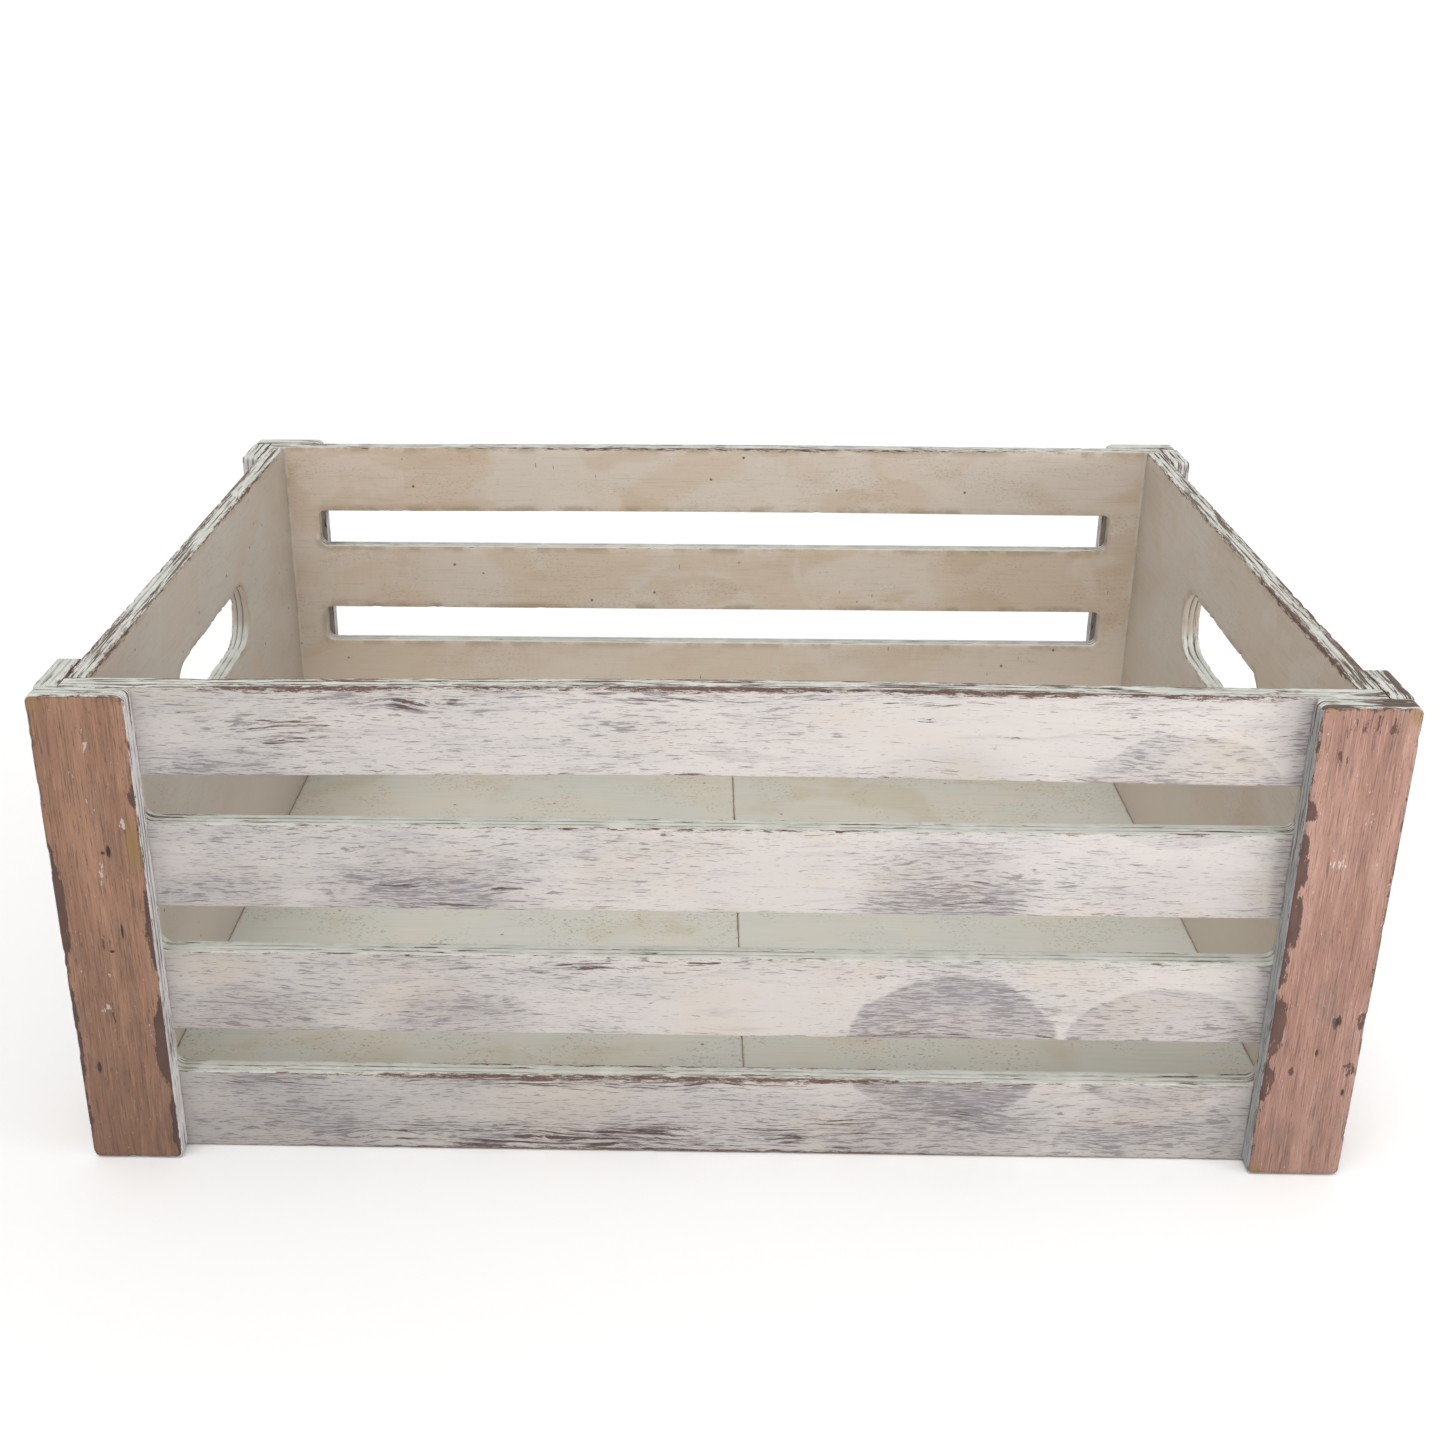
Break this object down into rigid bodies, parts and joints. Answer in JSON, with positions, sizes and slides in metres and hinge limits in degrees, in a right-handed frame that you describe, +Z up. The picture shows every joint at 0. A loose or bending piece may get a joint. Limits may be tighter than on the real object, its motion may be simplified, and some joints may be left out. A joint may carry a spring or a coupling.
{
  "type": "wooden apple crate",
  "caption": "Shallow open-topped wooden crate for apples: slotted front and back, solid sides with hand holes, plank-faced corners, flat floor.",
  "frame": {"origin": "centre of the crate's outline on the surface it stands on", "axes": "+X along the long side towards the crate's right as seen from its front, +Y from the front to the back, +Z up"},
  "size_m": [0.4, 0.294, 0.162],
  "materials": {
    "painted_band": "matt off-white paint, worn through to dark brown along the edges and grain",
    "painted_side": "matt beige-grey wash, worn edges",
    "painted_floor": "matt grey-green paint with small brown specks",
    "stained_plank": "matt terracotta-brown paint, vertical grain, chipped dark edges",
    "nail_steel": "plain steel"
  },
  "bodies": {
    "root": {"front_panel": "painted_band", "back_panel": "painted_band", "left_side_panel": "painted_side", "right_side_panel": "painted_side", "floor_board_left": "painted_floor", "floor_board_right": "painted_floor", "front_left_plank": "stained_plank", "left_front_plank": "stained_plank", "back_left_plank": "stained_plank", "left_back_plank": "stained_plank", "front_right_plank": "stained_plank", "right_front_plank": "stained_plank", "back_right_plank": "stained_plank", "right_back_plank": "stained_plank", "front_left_nail_1": "nail_steel", "front_left_nail_2": "nail_steel", "front_left_nail_3": "nail_steel", "left_front_nail_1": "nail_steel", "left_front_nail_2": "nail_steel", "floor_front_left_nail_1": "nail_steel", "floor_front_left_nail_2": "nail_steel", "floor_left_front_nail": "nail_steel", "back_left_nail_1": "nail_steel", "back_left_nail_2": "nail_steel", "back_left_nail_3": "nail_steel", "left_back_nail_1": "nail_steel", "left_back_nail_2": "nail_steel", "floor_back_left_nail_1": "nail_steel", "floor_back_left_nail_2": "nail_steel", "floor_left_back_nail": "nail_steel", "front_right_nail_1": "nail_steel", "front_right_nail_2": "nail_steel", "front_right_nail_3": "nail_steel", "right_front_nail_1": "nail_steel", "right_front_nail_2": "nail_steel", "floor_front_right_nail_1": "nail_steel", "floor_front_right_nail_2": "nail_steel", "floor_right_front_nail": "nail_steel", "back_right_nail_1": "nail_steel", "back_right_nail_2": "nail_steel", "back_right_nail_3": "nail_steel", "right_back_nail_1": "nail_steel", "right_back_nail_2": "nail_steel", "floor_back_right_nail_1": "nail_steel", "floor_back_right_nail_2": "nail_steel", "floor_right_back_nail": "nail_steel"}
  },
  "joints": []
}
